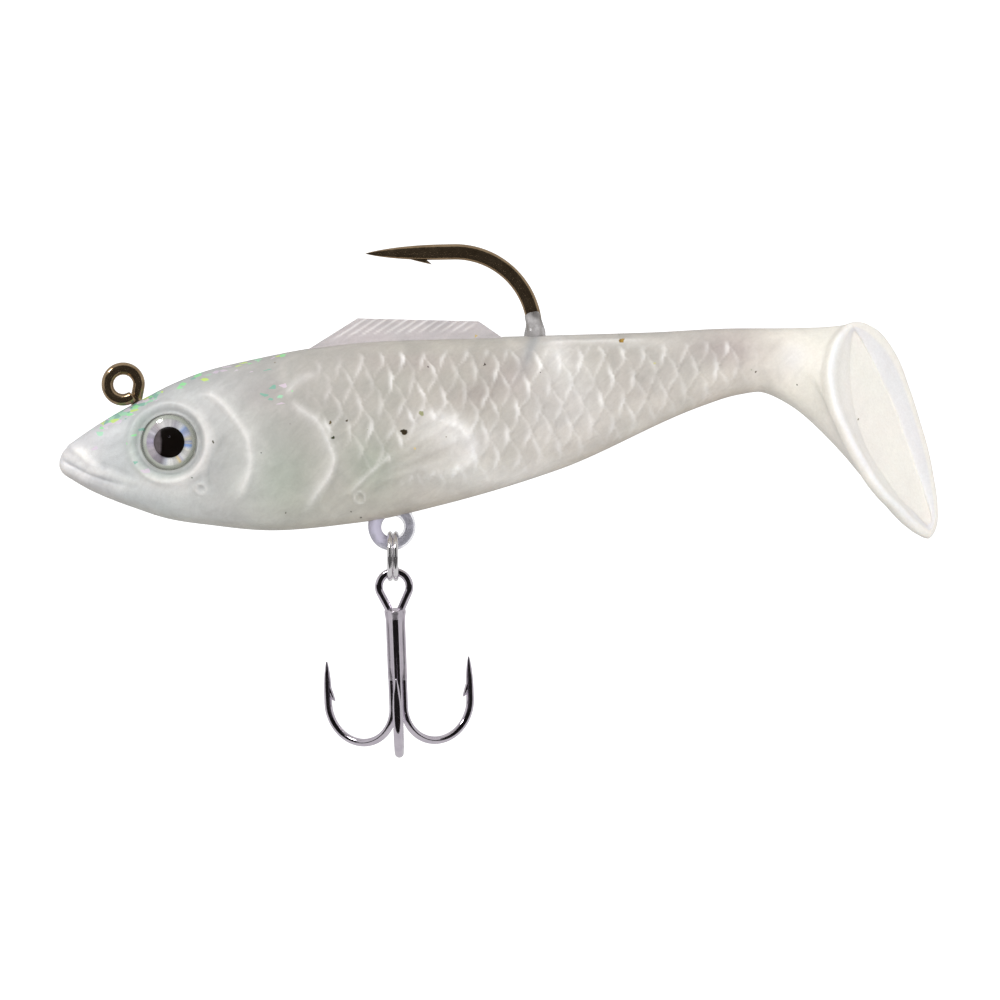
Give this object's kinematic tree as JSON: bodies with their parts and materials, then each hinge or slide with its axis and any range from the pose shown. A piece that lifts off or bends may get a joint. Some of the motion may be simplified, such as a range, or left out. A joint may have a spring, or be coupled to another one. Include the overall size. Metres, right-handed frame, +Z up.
{
  "type": "swimbait",
  "caption": "Soft paddle-tail fishing lure with an internal lead head, a jig hook out of the back, and a treble hook on a split ring under the belly.",
  "frame": {"origin": "centre of the line eye on top of the head", "axes": "+X from nose to tail, +Y to the lure's right side, +Z up through the back"},
  "size_m": [0.1099, 0.0168, 0.0638],
  "materials": {
    "soft_plastic": "satin",
    "lead": "matte",
    "bronzed_hook": "gloss",
    "clear_plastisol": "gloss",
    "bright_wire": "gloss",
    "flash_foil": "gloss",
    "eye_foil": "gloss",
    "pupil": "gloss",
    "lens": "gloss",
    "black_nickel": "gloss",
    "braze": "satin"
  },
  "bodies": {
    "body": {"soft_body": "soft_plastic", "lead_head": "lead", "jig_hook": "bronzed_hook", "hook_exit_bead": "clear_plastisol", "belly_eye_wire": "bright_wire", "belly_eye_sleeve": "clear_plastisol", "foil_left": "flash_foil", "foil_right": "flash_foil", "eye_foil_left": "eye_foil", "eye_foil_right": "eye_foil", "eye_pupil_left": "pupil", "eye_pupil_right": "pupil", "eye_lens_left": "lens", "eye_lens_right": "lens"},
    "tail": {"soft_tail": "soft_plastic"},
    "split_ring": {"split_ring": "bright_wire"},
    "treble_hook": {"treble_double_hook": "black_nickel", "treble_third_hook": "black_nickel", "treble_braze": "braze"}
  },
  "joints": [
    {"name": "tail_wag", "type": "hinge", "parent": "body", "child": "tail", "pos_m": [0.066, 0, 0], "axis": [0, 0, 1], "range_deg": [-40, 40], "stiffness_Nm_per_rad": 0.002},
    {"name": "ring_swing", "type": "hinge", "parent": "body", "child": "split_ring", "pos_m": [0.03355, 0, -0.01774], "axis": [0, 1, 0], "range_deg": [-50, 50]},
    {"name": "treble_swing", "type": "hinge", "parent": "split_ring", "child": "treble_hook", "pos_m": [0.03365, 0, -0.02145], "axis": [1, 0, 0], "range_deg": [-60, 60]}
  ]
}
